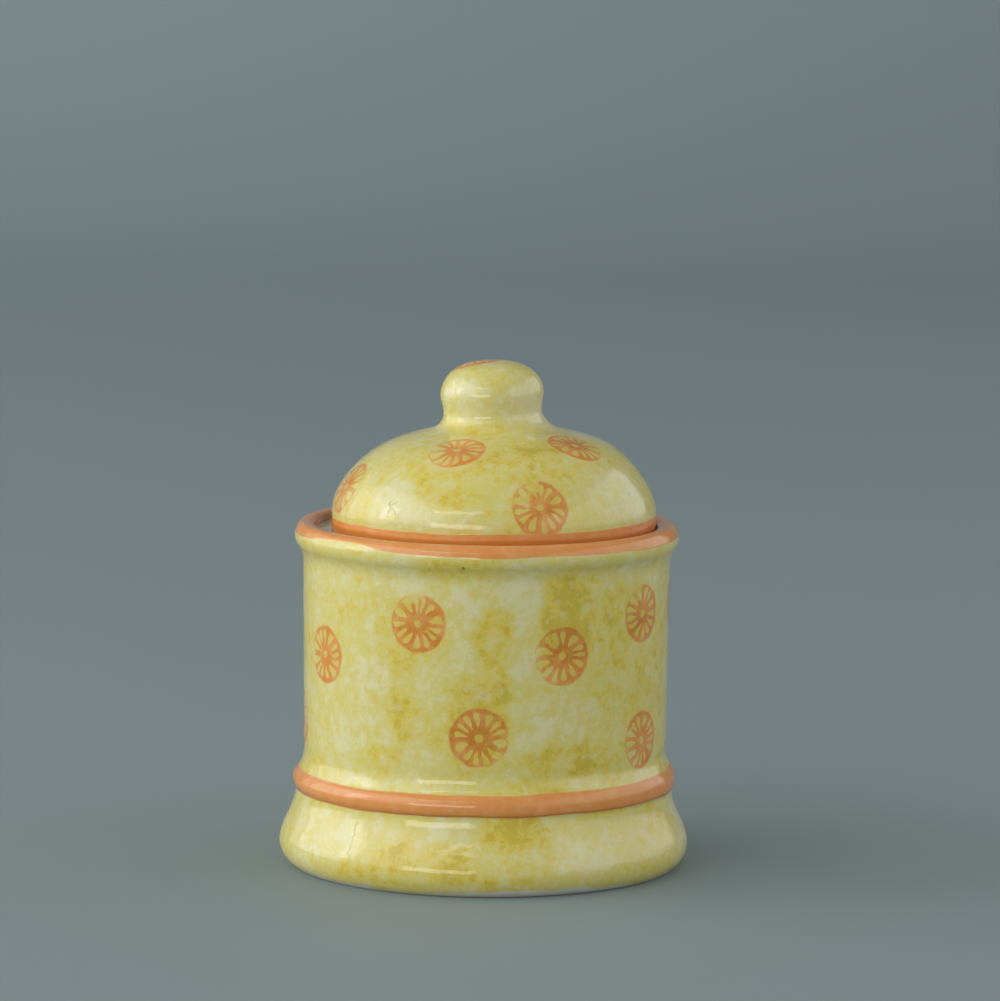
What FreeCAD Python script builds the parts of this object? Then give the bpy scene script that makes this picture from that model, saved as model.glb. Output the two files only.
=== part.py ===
import FreeCAD, Part
import math
import os

# Jam pot: a glazed earthenware pot with a flared foot, a ring bead and a rolled lip, and a
# domed lid with a round knob, which lies loose on a ledge inside the lip. The lid has an
# arched notch at its edge for a spoon.
# Millimetres. The origin is the centre of the foot on the table, +Z is up and -Y is the front.

# Pot, outside: the stretches are stacked from the table up.
BODY_RADIUS = 42.1  # under the lip
BODY_TAPER = 0.35  # the body is this much slimmer at its lower end
BODY_HEIGHT = 42.5
FOOT_FLARE = 5.4  # how far the foot stands out past the body
FOOT_HEIGHT = 18.0
FOOT_BULGE_HEIGHT = 5.0  # of the foot's widest line above the table
FOOT_ROLL = 3.2  # how far the foot rolls in below that line
BEAD_PROUD = 2.2  # of the body
BEAD_HEIGHT = 4.9
BEAD_DEPTH = 0.65  # from the bead's crest to the crease below it
WAIST_HEIGHT = 5.1  # hollow curve from the bead up to the body
LIP_PROUD = 2.0  # of the body
LIP_HEIGHT = 9.1
LIP_WIDTH = 4.65  # across the rolled top, from its outside to the ledge's wall

# Pot, inside and underneath.
WALL = 4.5
FLOOR = 5.5
FLOOR_FILLET = 6.0
RECESS = 1.5  # depth of the hollow inside the foot ring
FOOT_RING = 4.0  # width of the ring that stands on the table
LEDGE_DEPTH = 2.0  # from the top of the lip down to the ledge
LEDGE_THICKNESS = 2.6
LEDGE_BEARING = 1.05  # the least of the lid's edge that still lies on the ledge
LEDGE_ROUND = 0.6

# Lid.
LID_CLEARANCE = 1.95  # all round, when the lid is centred
LID_GAP = 0.3  # what is left of it on the side that the lid has slid to
LID_WALL = 4.0
LID_SKIRT = 4.4  # upright part of the edge
LID_EDGE_ROUND = 0.5
DOME_RISE = 20.0  # from the skirt to the knob's foot
KNOB_RADIUS = 11.9
KNOB_HEIGHT = 15.0
NECK_PINCH = 0.5  # how much slimmer the knob's neck is
NECK_FLARE = 3.5  # how far the neck spreads where it runs into the dome
NOTCH_WIDTH = 11.0
NOTCH_HEIGHT = 7.0
NOTCH_AZIMUTH = 160.0  # degrees from +X towards +Y

# Heights along the pot.
BEAD_Z = FOOT_HEIGHT
WAIST_Z = BEAD_Z + BEAD_HEIGHT
BODY_Z = WAIST_Z + WAIST_HEIGHT
LIP_Z = BODY_Z + BODY_HEIGHT
RIM_Z = LIP_Z + LIP_HEIGHT
LEDGE_Z = RIM_Z - LEDGE_DEPTH
FLOOR_Z = RECESS + FLOOR

# Radii that follow from each other.
WAIST_RADIUS = BODY_RADIUS - BODY_TAPER
FOOT_RADIUS = BODY_RADIUS + FOOT_FLARE
BEAD_RADIUS = BODY_RADIUS + BEAD_PROUD
LIP_RADIUS = BODY_RADIUS + LIP_PROUD
LEDGE_RADIUS = LIP_RADIUS - LIP_WIDTH
LID_RADIUS = LEDGE_RADIUS - LID_CLEARANCE
LID_SHIFT = LID_CLEARANCE - LID_GAP
MOUTH_RADIUS = LID_RADIUS - LID_SHIFT - LEDGE_BEARING
BORE_RADIUS = BODY_RADIUS - WALL

CENTRE = FreeCAD.Vector(0, 0, 0)
UP = FreeCAD.Vector(0, 0, 1)


def at(radius, height):
    return FreeCAD.Vector(radius, 0, height)


def line(start, end):
    return Part.makeLine(start, end)


def arc(start, middle, end):
    return Part.Arc(start, middle, end).toShape()


def curve(points, leave, arrive):
    """A smooth curve through the points, which sets out along leave and ends along arrive."""
    spline = Part.BSplineCurve()
    spline.interpolate(Points=points, InitialTangent=leave, FinalTangent=arrive)
    return spline.toShape()


def turned(outline):
    """The solid that an outline of edges makes when it turns round the upright axis."""
    face = Part.Face(Part.Wire(outline))
    return face.revolve(CENTRE, UP, 360)


def foot_outline():
    """Up the outside of the foot, from the table to the crease under the bead."""
    contact = at(FOOT_RADIUS - FOOT_ROLL, 0)
    widest = at(FOOT_RADIUS, FOOT_BULGE_HEIGHT)
    crease = at(BEAD_RADIUS - BEAD_DEPTH, BEAD_Z)
    rise = FOOT_HEIGHT - FOOT_BULGE_HEIGHT
    reach = widest.x - crease.x
    shoulder = at(widest.x - 0.64 * reach, widest.z + 0.56 * rise)
    under = at(FOOT_RADIUS - 0.28 * FOOT_ROLL, 0.42 * FOOT_BULGE_HEIGHT)
    return [
        arc(contact, under, widest),
        curve([widest, shoulder, crease], at(0, 6), at(0, 5)),
    ]


def bead_outline():
    """Over the ring bead and up the hollow waist to the body."""
    crease = at(BEAD_RADIUS - BEAD_DEPTH, BEAD_Z)
    crest = at(BEAD_RADIUS, BEAD_Z + 0.5 * BEAD_HEIGHT)
    top = at(BEAD_RADIUS - 2 * BEAD_DEPTH, WAIST_Z)
    low = at(BEAD_RADIUS - 0.3 * BEAD_DEPTH, BEAD_Z + 0.2 * BEAD_HEIGHT)
    high = at(BEAD_RADIUS - 0.4 * BEAD_DEPTH, BEAD_Z + 0.82 * BEAD_HEIGHT)
    body = at(WAIST_RADIUS, BODY_Z)
    reach = top.x - body.x
    hollow = at(body.x + 0.28 * reach, WAIST_Z + 0.36 * WAIST_HEIGHT)
    return [
        arc(crease, low, crest),
        arc(crest, high, top),
        arc(top, hollow, body),
    ]


def lip_outline():
    """Up the body, out under the lip and over its rolled top to the ledge."""
    swell = LIP_RADIUS - BODY_RADIUS
    start = at(BODY_RADIUS, LIP_Z)
    hollow = at(BODY_RADIUS + 0.13 * swell, LIP_Z + 0.18 * LIP_HEIGHT)
    turn = at(BODY_RADIUS + 0.55 * swell, LIP_Z + 0.38 * LIP_HEIGHT)
    widest = at(LIP_RADIUS, LIP_Z + 0.7 * LIP_HEIGHT)
    top = at(LIP_RADIUS - 0.45 * LIP_WIDTH, RIM_Z)
    brow = at(LEDGE_RADIUS + 0.16 * LIP_WIDTH, RIM_Z - 0.12 * LEDGE_DEPTH)
    inner = at(LEDGE_RADIUS, LEDGE_Z + 0.5 * LEDGE_DEPTH)
    return [
        line(at(WAIST_RADIUS, BODY_Z), start),
        arc(start, hollow, turn),
        curve([turn, widest, top], at(1.2, 1.6), at(-2.5, 0)),
        curve([top, brow, inner], at(-2.5, 0), at(0, -1.5)),
        line(inner, at(LEDGE_RADIUS, LEDGE_Z)),
    ]


def inside_outline():
    """Across the ledge, down the bore and over the floor to the axis."""
    edge = at(MOUTH_RADIUS, LEDGE_Z - LEDGE_ROUND)
    edge_middle = MOUTH_RADIUS + LEDGE_ROUND * (1 - math.sqrt(0.5))
    edge_height = LEDGE_Z - LEDGE_ROUND * (1 - math.sqrt(0.5))
    under = at(MOUTH_RADIUS, LEDGE_Z - LEDGE_THICKNESS)
    bore = at(BORE_RADIUS, under.z - (BORE_RADIUS - MOUTH_RADIUS))
    fillet_middle = FLOOR_FILLET * (1 - math.sqrt(0.5))
    return [
        line(at(LEDGE_RADIUS, LEDGE_Z), at(MOUTH_RADIUS + LEDGE_ROUND, LEDGE_Z)),
        arc(at(MOUTH_RADIUS + LEDGE_ROUND, LEDGE_Z), at(edge_middle, edge_height), edge),
        line(edge, under),
        line(under, bore),
        line(bore, at(BORE_RADIUS, FLOOR_Z + FLOOR_FILLET)),
        arc(
            at(BORE_RADIUS, FLOOR_Z + FLOOR_FILLET),
            at(BORE_RADIUS - fillet_middle, FLOOR_Z + fillet_middle),
            at(BORE_RADIUS - FLOOR_FILLET, FLOOR_Z),
        ),
        line(at(BORE_RADIUS - FLOOR_FILLET, FLOOR_Z), at(0, FLOOR_Z)),
    ]


def underside_outline():
    """Down the axis, out under the recessed base and across the foot ring."""
    ring_outer = FOOT_RADIUS - FOOT_ROLL
    ring_inner = ring_outer - FOOT_RING
    return [
        line(at(0, FLOOR_Z), at(0, RECESS)),
        line(at(0, RECESS), at(ring_inner - RECESS, RECESS)),
        line(at(ring_inner - RECESS, RECESS), at(ring_inner, 0)),
        line(at(ring_inner, 0), at(ring_outer, 0)),
    ]


def make_pot():
    return turned(
        foot_outline()
        + bead_outline()
        + lip_outline()
        + inside_outline()
        + underside_outline()
    )


def lid_outside():
    """Up the skirt, over the dome and the knob to the axis, with the lid's edge at height 0."""
    dome_top = LID_SKIRT + DOME_RISE
    knob_top = dome_top + KNOB_HEIGHT
    neck = KNOB_RADIUS - NECK_PINCH
    spring = at(LID_RADIUS, LID_SKIRT)
    flare = at(neck + NECK_FLARE, dome_top - 0.3 * NECK_FLARE)
    span = LID_RADIUS - flare.x
    haunch = at(LID_RADIUS - 0.155 * span, LID_SKIRT + 0.445 * (flare.z - LID_SKIRT))
    crown = at(LID_RADIUS - 0.6 * span, LID_SKIRT + 0.85 * (flare.z - LID_SKIRT))
    pinch = at(neck, dome_top + 0.22 * KNOB_HEIGHT)
    shoulder = at(KNOB_RADIUS, dome_top + 0.5 * KNOB_HEIGHT)
    crest = at(0.84 * KNOB_RADIUS, dome_top + 0.8 * KNOB_HEIGHT)
    crown_edge = at(0.6 * KNOB_RADIUS, dome_top + 0.925 * KNOB_HEIGHT)
    top = at(0, knob_top)
    return [
        line(at(LID_RADIUS, LID_EDGE_ROUND), spring),
        curve([spring, haunch, crown, flare], at(0, 20), at(-16, 5)),
        curve([flare, pinch], at(-5, 1.2), at(0, 5)),
        curve([pinch, shoulder, crest, crown_edge, top], at(0, 6), at(-12, 0)),
    ]


def lid_inside():
    """From the axis down under the dome to the lid's edge and round it."""
    hollow_radius = LID_RADIUS - LID_WALL
    hollow_top = at(0, LID_SKIRT + DOME_RISE - LID_WALL)
    spring = at(hollow_radius, LID_SKIRT)
    haunch = at(0.8 * hollow_radius, LID_SKIRT + 0.62 * (hollow_top.z - LID_SKIRT))
    return [
        curve([hollow_top, haunch, spring], at(30, 0), at(0, -20)),
        line(spring, at(hollow_radius, LID_EDGE_ROUND)),
        line(at(hollow_radius, LID_EDGE_ROUND), at(hollow_radius + LID_EDGE_ROUND, 0)),
        line(at(hollow_radius + LID_EDGE_ROUND, 0), at(LID_RADIUS - LID_EDGE_ROUND, 0)),
        line(at(LID_RADIUS - LID_EDGE_ROUND, 0), at(LID_RADIUS, LID_EDGE_ROUND)),
    ]


def spoon_notch():
    """The arch that is cut through the lid's edge, with the lid's edge at height 0."""
    half = NOTCH_WIDTH / 2
    shoulder = NOTCH_HEIGHT - half
    start = LID_RADIUS - 3 * LID_WALL

    def corner(side, height):
        return FreeCAD.Vector(start, side, height)

    outline = [
        line(corner(-half, -1), corner(half, -1)),
        line(corner(half, -1), corner(half, shoulder)),
        arc(corner(half, shoulder), corner(0, NOTCH_HEIGHT), corner(-half, shoulder)),
        line(corner(-half, shoulder), corner(-half, -1)),
    ]
    face = Part.Face(Part.Wire(outline))
    notch = face.extrude(FreeCAD.Vector(4 * LID_WALL, 0, 0))
    notch.rotate(CENTRE, UP, NOTCH_AZIMUTH)
    return notch


def make_lid():
    knob_top = LID_SKIRT + DOME_RISE + KNOB_HEIGHT
    axis = line(at(0, knob_top), at(0, LID_SKIRT + DOME_RISE - LID_WALL))
    lid = turned(lid_outside() + [axis] + lid_inside()).cut(spoon_notch())
    lid = lid.Solids[0]
    lid.translate(FreeCAD.Vector(LID_SHIFT, 0, LEDGE_Z))
    return lid


os.makedirs("parts", exist_ok=True)
for name, shape in {"pot": make_pot(), "lid": make_lid()}.items():
    shape.exportStep(f"parts/{name}.step")
    size = shape.optimalBoundingBox()
    print(
        f"{name}: valid {shape.isValid()}, {shape.ShapeType}, volume {shape.Volume / 1000:.1f} cm3,"
        f" x {size.XMin:.2f}..{size.XMax:.2f}, z {size.ZMin:.2f}..{size.ZMax:.2f}"
    )
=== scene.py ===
import math

import bpy
import numpy as np
from mathutils import Matrix


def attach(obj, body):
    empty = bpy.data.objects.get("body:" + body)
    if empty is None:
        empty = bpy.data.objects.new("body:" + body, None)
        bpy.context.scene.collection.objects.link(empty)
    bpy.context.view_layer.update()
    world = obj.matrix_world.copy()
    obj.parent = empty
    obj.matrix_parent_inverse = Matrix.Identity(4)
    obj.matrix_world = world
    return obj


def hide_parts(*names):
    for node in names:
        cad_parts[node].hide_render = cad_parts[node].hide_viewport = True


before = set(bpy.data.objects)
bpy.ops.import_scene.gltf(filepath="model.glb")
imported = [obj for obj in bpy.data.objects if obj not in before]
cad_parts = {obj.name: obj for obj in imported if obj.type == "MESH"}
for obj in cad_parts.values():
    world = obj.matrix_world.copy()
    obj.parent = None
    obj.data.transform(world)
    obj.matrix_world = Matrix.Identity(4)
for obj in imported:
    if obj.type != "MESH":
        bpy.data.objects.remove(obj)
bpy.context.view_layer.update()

# The pot and the lid repeat the frame's outlines, in millimetres, and are scaled to metres when
# their meshes are made. Azimuths are in degrees from the front (-Y), positive towards +X.
MM = 0.001

BODY_RADIUS = 42.1  # of the wall where the lip starts
BODY_TAPER = 0.35  # how much narrower the wall is at the waist
BODY_HEIGHT = 42.5  # from the waist to the lip
FOOT_FLARE = 5.4  # how far the foot stands out past the body
FOOT_HEIGHT = 18.0
FOOT_BULGE_HEIGHT = 5.0  # where the foot is widest
FOOT_ROLL = 3.2  # how far the foot turns in under its widest
BEAD_PROUD = 2.2
BEAD_HEIGHT = 4.9
BEAD_DEPTH = 0.65
WAIST_HEIGHT = 5.1  # of the hollow above the bead
LIP_PROUD = 2.0
LIP_HEIGHT = 9.1
LIP_WIDTH = 4.65
WALL = 4.5
FLOOR = 5.5
FLOOR_FILLET = 6.0
RECESS = 1.5  # under the foot
FOOT_RING = 4.0
LEDGE_DEPTH = 2.0  # how far the lid's ledge lies below the rim
LEDGE_THICKNESS = 2.6
LEDGE_BEARING = 1.05  # how much of the lid's edge rests on the ledge where it rests least
LEDGE_ROUND = 0.6
LID_CLEARANCE = 1.95  # between a centred lid and the lip
LID_GAP = 0.3  # left on the side that the lid has slid to
LID_WALL = 4.0
LID_SKIRT = 4.4  # height of the lid's upright edge
LID_EDGE_ROUND = 0.5
DOME_RISE = 20.0
KNOB_RADIUS = 11.9
KNOB_HEIGHT = 15.0
NECK_PINCH = 0.5
NECK_FLARE = 3.5
NOTCH_WIDTH = 11.0
NOTCH_HEIGHT = 7.0
NOTCH_AZIMUTH = -110.0

BEAD_Z = FOOT_HEIGHT
WAIST_Z = BEAD_Z + BEAD_HEIGHT
BODY_Z = WAIST_Z + WAIST_HEIGHT
LIP_Z = BODY_Z + BODY_HEIGHT
RIM_Z = LIP_Z + LIP_HEIGHT
LEDGE_Z = RIM_Z - LEDGE_DEPTH
FLOOR_Z = RECESS + FLOOR
WAIST_RADIUS = BODY_RADIUS - BODY_TAPER
FOOT_RADIUS = BODY_RADIUS + FOOT_FLARE
BEAD_RADIUS = BODY_RADIUS + BEAD_PROUD
LIP_RADIUS = BODY_RADIUS + LIP_PROUD
LEDGE_RADIUS = LIP_RADIUS - LIP_WIDTH
LID_RADIUS = LEDGE_RADIUS - LID_CLEARANCE
LID_SHIFT = LID_CLEARANCE - LID_GAP
MOUTH_RADIUS = LID_RADIUS - LID_SHIFT - LEDGE_BEARING
BORE_RADIUS = BODY_RADIUS - WALL

# Mesh fineness.
FINE = 0.6  # step along the outside, mm
COARSE = 2.5  # step where little shows
POT_COLUMNS = 288
LID_COLUMNS = 256
NOTCH_COLUMNS = 48

# Hand-made unevenness, in millimetres.
POT_WOBBLE = 0.12  # how far the wall lies inside its true round at most
LID_WOBBLE = 0.10  # the same for the lid
FULLNESS = 0.22  # how much fuller the wall above the foot is than its plain outline
FULLNESS_RIGHT = 0.22  # and how much more at the right
FULL_HEIGHT = 12.0  # height above the bead's foot at which the wall is all that fuller
FULL_DEPTH = 2.5  # it sets in over this much of the wall, from the lip's inside outwards
BEAD_CLIMB = 0.6  # how much the top of the bead lies higher at the right than at the middle
# Heights, and how far the lid leans to the right there.
LID_LEAN = [(LEDGE_Z, 0), (90, 0.1), (98, 0.4), (102, 0.2)]
LID_LEAN += [(105, -0.5), (108, -0.8), (112, -0.5), (118, -0.35)]
SHOULDER_Z = 97.0
SHOULDER_REACH = 9.0  # half the height over which the dome's shoulder is raised
SHOULDER_RISE = 0.4
SHOULDER_RISE_RIGHT = 0.3  # how much more at the right, and less at the left
SHOULDER_SIDE = 25.0  # how far out that is reached

# The printed citrus slices: azimuth, height, turn and size, in degrees and millimetres.
STAMP_RADIUS = 6.9
POT_STAMPS = [
    (-21, 61.5, -40, 1),
    (-59.5, 51.4, 5, 1),
    (24.5, 54.2, 0, 1),
    (57.5, 61.9, -60, 1),
    (-1.5, 35.9, 150, 1.02),
    (58.5, 32.6, 20, 1),
    (88, 61.7, 200, 1),
    (-84.5, 34.3, 220, 1),
    (96, 38.5, 100, 1),
    (126, 56, 250, 0.98),
    (146, 34, 10, 1),
    (168, 60.5, 75, 1),
    (-167, 40, 200, 1.02),
    (-146, 59, 130, 1),
    (-122, 37.5, 300, 1),
    (-104, 60.5, 170, 0.98),
]
LID_STAMPS = [
    (-21.2, 98.4, 10, 0.98),
    (52.3, 98.5, 160, 0.98),
    (17, 87.4, -35, 1),
    (-74, 88.8, 170, 0.98),
    (112, 89, 95, 1),
    (135, 98.5, 200, 1),
    (165, 87, 280, 0.98),
    (-170, 98.5, 20, 1),
    (-104, 92.5, 250, 0.98),
    (-140, 87.5, 330, 0.98),
]
KNOB_STAMP = (-108.0, 116.55, 30.0, 0.9)

# Sponged patches: azimuth, height, half width, half height and tone, golden above 0, creamy below.
POT_PATCHES = [
    (-9, 74, 10, 2.5, 0.9),
    (-20, 61, 7, 7, 0.6),
    (3, 57, 4.5, 8, 1),
    (27, 62, 7, 10, 1.2),
    (50, 64, 8, 7, 0.6),
    (-2, 46, 7, 4, 0.8),
    (-26, 40, 3.5, 5.5, 0.8),
    (27, 30, 10, 4, 1),
    (50, 45, 7, 9, 0.5),
    (-2, 36, 8, 7, 0.6),
    (-27, 53, 5, 3, 0.4),
    (-34, 30, 8, 3, 0.4),
    (12, 24.5, 10, 2.5, 0.6),
    (-62, 66, 6, 7, -0.5),
    (-36, 49, 4, 4, -0.6),
    (-24, 72, 3, 6, -0.5),
    (-7, 63.5, 3.5, 4, -0.5),
    (11, 68.5, 5, 4, -0.6),
    (11, 52, 3, 4.5, -0.65),
    (14, 38.5, 5, 7, -0.6),
    (7, 28.5, 3, 5, -0.6),
    (-48, 36, 8, 9, -0.2),
    (-14, 9, 9, 3.5, 1.3),
    (-26, 8.5, 6, 3, 0.8),
    (-22, 15, 4, 3, 0.7),
    (9, 14.5, 8, 4, 0.95),
    (63, 13, 6, 6, 0.4),
    (-20, 4, 18, 2, 0.8),
    (25, 3.5, 12, 1.5, 0.6),
    (-52, 11, 10, 6, -0.7),
    (-8, 14, 5, 2.5, -0.3),
    (38, 9, 14, 5, -0.45),
]
# On the lid and knob, some creamy patches are painted highlights and reflections, marked below.
LID_PATCHES_AND_HIGHLIGHTS = [
    (38, 99, 10, 3.5, 1.2),
    (4, 98, 11, 3.5, 0.4),
    (20, 90, 6, 6, 0.4),
    (-20, 91.5, 7, 4.5, 0.4),
    # Painted highlight: the left lamp's highlight on the lid's flank.
    (-40, 88, 6, 5, -0.8),
    # Painted reflection: the front lamp's pale strip just above the lid's band.
    (-10, 84, 12, 2, -0.5),
    (-70, 92, 9, 8, -0.4),
    # Painted reflection: the right lamp's reflection on the lid's right.
    (52, 88, 10, 7, -0.6),
    (20, 113.5, 6, 3, 0.2),
    (0, 108, 7, 4, -0.4),
    # Painted highlights on the knob's left and right.
    (-45, 109, 6, 5, -0.7),
    (60, 108, 7, 5, -0.7),
    (10, 102.5, 12, 1.4, 0.4),
]
PATCHES_BEHIND = 16  # more of them, scattered over the back half
PATCH_EDGE = (1.35, 0.65)  # where a patch ends and where it is whole, in its own half widths
PATCH_REACH = 20.0  # a patch ends here at the latest, mm


# --- outlines ---


def straight(start, end, step):
    """Points from start towards end, without the end itself."""
    start, end = np.array(start, float), np.array(end, float)
    count = max(1, round(np.linalg.norm(end - start) / step))
    return start + (end - start) * (np.arange(count) / count)[:, None]


def bow(start, middle, end, step):
    """Points on the round arc through three points, without the last."""
    (ax, ay), (bx, by), (cx, cy) = start, middle, end
    d = 2 * (ax * (by - cy) + bx * (cy - ay) + cx * (ay - by))
    a2, b2, c2 = ax * ax + ay * ay, bx * bx + by * by, cx * cx + cy * cy
    ox = (a2 * (by - cy) + b2 * (cy - ay) + c2 * (ay - by)) / d
    oy = (a2 * (cx - bx) + b2 * (ax - cx) + c2 * (bx - ax)) / d
    first, mid, last = (math.atan2(y - oy, x - ox) for x, y in (start, middle, end))
    turn = math.tau if d > 0 else -math.tau
    sweep = (last - first) % turn
    radius = math.hypot(ax - ox, ay - oy)
    count = max(2, round(abs(sweep) * radius / step))
    angles = first + sweep * np.arange(count) / count
    return np.stack([ox + radius * np.cos(angles), oy + radius * np.sin(angles)], axis=1)


def sweep_through(points, leave, arrive, step):
    """Points on a smooth curve through the given ones, with set directions, without the last."""
    points = np.array(points, float)
    gaps = np.linalg.norm(np.diff(points, axis=0), axis=1)
    knots = np.concatenate([[0], np.cumsum(gaps)])
    count = len(points)
    system, right = np.zeros((count, count)), np.zeros((count, 2))
    system[0, 0] = system[-1, -1] = 1
    right[0] = np.array(leave) / np.linalg.norm(leave)
    right[-1] = np.array(arrive) / np.linalg.norm(arrive)
    for i in range(1, count - 1):
        before, after = gaps[i - 1], gaps[i]
        system[i, i - 1 : i + 2] = after, 2 * (before + after), before
        slope_before = (points[i] - points[i - 1]) / before
        slope_after = (points[i + 1] - points[i]) / after
        right[i] = 3 * (after * slope_before + before * slope_after)
    slopes = np.linalg.solve(system, right)
    made = []
    for i in range(count - 1):
        length = gaps[i]
        steps = max(2, round(length / step))
        t = (np.arange(steps) / steps)[:, None]
        made.append(
            (2 * t**3 - 3 * t**2 + 1) * points[i]
            + (t**3 - 2 * t**2 + t) * length * slopes[i]
            + (3 * t**2 - 2 * t**3) * points[i + 1]
            + (t**3 - t**2) * length * slopes[i + 1]
        )
    return np.concatenate(made)


def pot_outline():
    """From the axis under the base, up the outside, over the lip and down to the floor's centre."""
    ring_outer = FOOT_RADIUS - FOOT_ROLL
    ring_inner = ring_outer - FOOT_RING
    crease = (BEAD_RADIUS - BEAD_DEPTH, BEAD_Z)
    foot_rise = FOOT_HEIGHT - FOOT_BULGE_HEIGHT
    foot_reach = FOOT_RADIUS - crease[0]
    shoulder = (FOOT_RADIUS - 0.64 * foot_reach, FOOT_BULGE_HEIGHT + 0.56 * foot_rise)
    widest = (FOOT_RADIUS, FOOT_BULGE_HEIGHT)
    # The bead is widest below its middle, so that its face leans in towards the top.
    bead_crest = (BEAD_RADIUS, BEAD_Z + 0.36 * BEAD_HEIGHT)
    bead_top = (BEAD_RADIUS - 2 * BEAD_DEPTH, WAIST_Z)
    low = (BEAD_RADIUS - 0.3 * BEAD_DEPTH, BEAD_Z + 0.14 * BEAD_HEIGHT)
    high = (BEAD_RADIUS - 0.6 * BEAD_DEPTH, BEAD_Z + 0.75 * BEAD_HEIGHT)
    body = (WAIST_RADIUS, BODY_Z)
    hollow = (body[0] + 0.28 * (bead_top[0] - body[0]), WAIST_Z + 0.36 * WAIST_HEIGHT)
    swell = LIP_PROUD
    lip_start = (BODY_RADIUS, LIP_Z)
    lip_hollow = (BODY_RADIUS + 0.13 * swell, LIP_Z + 0.18 * LIP_HEIGHT)
    lip_turn = (BODY_RADIUS + 0.55 * swell, LIP_Z + 0.38 * LIP_HEIGHT)
    lip_widest = (LIP_RADIUS, LIP_Z + 0.7 * LIP_HEIGHT)
    lip_top = (LIP_RADIUS - 0.45 * LIP_WIDTH, RIM_Z)
    lip_brow = (LEDGE_RADIUS + 0.16 * LIP_WIDTH, RIM_Z - 0.12 * LEDGE_DEPTH)
    lip_inner = (LEDGE_RADIUS, LEDGE_Z + 0.5 * LEDGE_DEPTH)
    ledge_edge = (MOUTH_RADIUS + LEDGE_ROUND, LEDGE_Z)
    rounding = LEDGE_ROUND * (1 - math.sqrt(0.5))
    ledge_corner = (MOUTH_RADIUS + rounding, LEDGE_Z - rounding)
    under = LEDGE_Z - LEDGE_THICKNESS
    bore_top = (BORE_RADIUS, under - (BORE_RADIUS - MOUTH_RADIUS))
    fillet = FLOOR_FILLET * (1 - math.sqrt(0.5))
    return np.concatenate(
        [
            straight((0, RECESS), (ring_inner - RECESS, RECESS), COARSE),
            straight((ring_inner - RECESS, RECESS), (ring_inner, 0), FINE),
            straight((ring_inner, 0), (ring_outer, 0), 1.0),
            bow(
                (ring_outer, 0),
                (FOOT_RADIUS - 0.28 * FOOT_ROLL, 0.42 * FOOT_BULGE_HEIGHT),
                widest,
                FINE,
            ),
            sweep_through([widest, shoulder, crease], (0, 6), (0, 5), FINE),
            bow(crease, low, bead_crest, 0.4),
            bow(bead_crest, high, bead_top, 0.4),
            bow(bead_top, hollow, body, FINE),
            straight(body, lip_start, 1.0),
            bow(lip_start, lip_hollow, lip_turn, FINE),
            sweep_through([lip_turn, lip_widest, lip_top], (1.2, 1.6), (-2.5, 0), 0.4),
            sweep_through([lip_top, lip_brow, lip_inner], (-2.5, 0), (0, -1.5), 0.3),
            straight(lip_inner, (LEDGE_RADIUS, LEDGE_Z), 0.4),
            straight((LEDGE_RADIUS, LEDGE_Z), ledge_edge, 1.0),
            bow(ledge_edge, ledge_corner, (MOUTH_RADIUS, LEDGE_Z - LEDGE_ROUND), 0.3),
            straight((MOUTH_RADIUS, LEDGE_Z - LEDGE_ROUND), (MOUTH_RADIUS, under), 1.0),
            straight((MOUTH_RADIUS, under), bore_top, 1.5),
            straight(bore_top, (BORE_RADIUS, FLOOR_Z + FLOOR_FILLET), COARSE),
            bow(
                (BORE_RADIUS, FLOOR_Z + FLOOR_FILLET),
                (BORE_RADIUS - fillet, FLOOR_Z + fillet),
                (BORE_RADIUS - FLOOR_FILLET, FLOOR_Z),
                1.2,
            ),
            straight((BORE_RADIUS - FLOOR_FILLET, FLOOR_Z), (0, FLOOR_Z), COARSE),
            [(0, FLOOR_Z)],
        ]
    )


def lid_inside():
    """From the axis under the dome down to the lid's edge, which is at height 0."""
    hollow_radius = LID_RADIUS - LID_WALL
    hollow_top = (0, LID_SKIRT + DOME_RISE - LID_WALL)
    spring = (hollow_radius, LID_SKIRT)
    haunch = (0.8 * hollow_radius, LID_SKIRT + 0.62 * (hollow_top[1] - LID_SKIRT))
    edge = (hollow_radius, LID_EDGE_ROUND)
    return np.concatenate(
        [
            sweep_through([hollow_top, haunch, spring], (30, 0), (0, -20), 1.5),
            straight(spring, edge, 0.8),
            [edge],
        ]
    )


def lid_outside():
    """From the lid's edge up the skirt, over the dome and the knob to the axis."""
    dome_top = LID_SKIRT + DOME_RISE
    neck = KNOB_RADIUS - NECK_PINCH
    spring = (LID_RADIUS, LID_SKIRT)
    flare = (neck + NECK_FLARE, dome_top - 0.3 * NECK_FLARE)
    span, rise = LID_RADIUS - flare[0], flare[1] - LID_SKIRT
    haunch = (LID_RADIUS - 0.155 * span, LID_SKIRT + 0.445 * rise)
    crown = (LID_RADIUS - 0.6 * span, LID_SKIRT + 0.85 * rise)
    pinch = (neck, dome_top + 0.22 * KNOB_HEIGHT)
    shoulder = (KNOB_RADIUS, dome_top + 0.5 * KNOB_HEIGHT)
    crest = (0.84 * KNOB_RADIUS, dome_top + 0.8 * KNOB_HEIGHT)
    crown_edge = (0.6 * KNOB_RADIUS, dome_top + 0.925 * KNOB_HEIGHT)
    top = (0, dome_top + KNOB_HEIGHT)
    return np.concatenate(
        [
            straight((LID_RADIUS, LID_EDGE_ROUND), spring, FINE),
            sweep_through([spring, haunch, crown, flare], (0, 20), (-16, 5), FINE),
            sweep_through([flare, pinch], (-5, 1.2), (0, 5), 0.5),
            sweep_through([pinch, shoulder, crest, crown_edge, top], (0, 6), (-12, 0), 0.5),
            [top],
        ]
    )


def corner(start, middle, end):
    """The rounded edge between two sides, without its ends."""
    return bow(start, middle, end, 0.15)[1:]


# --- meshes ---


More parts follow.
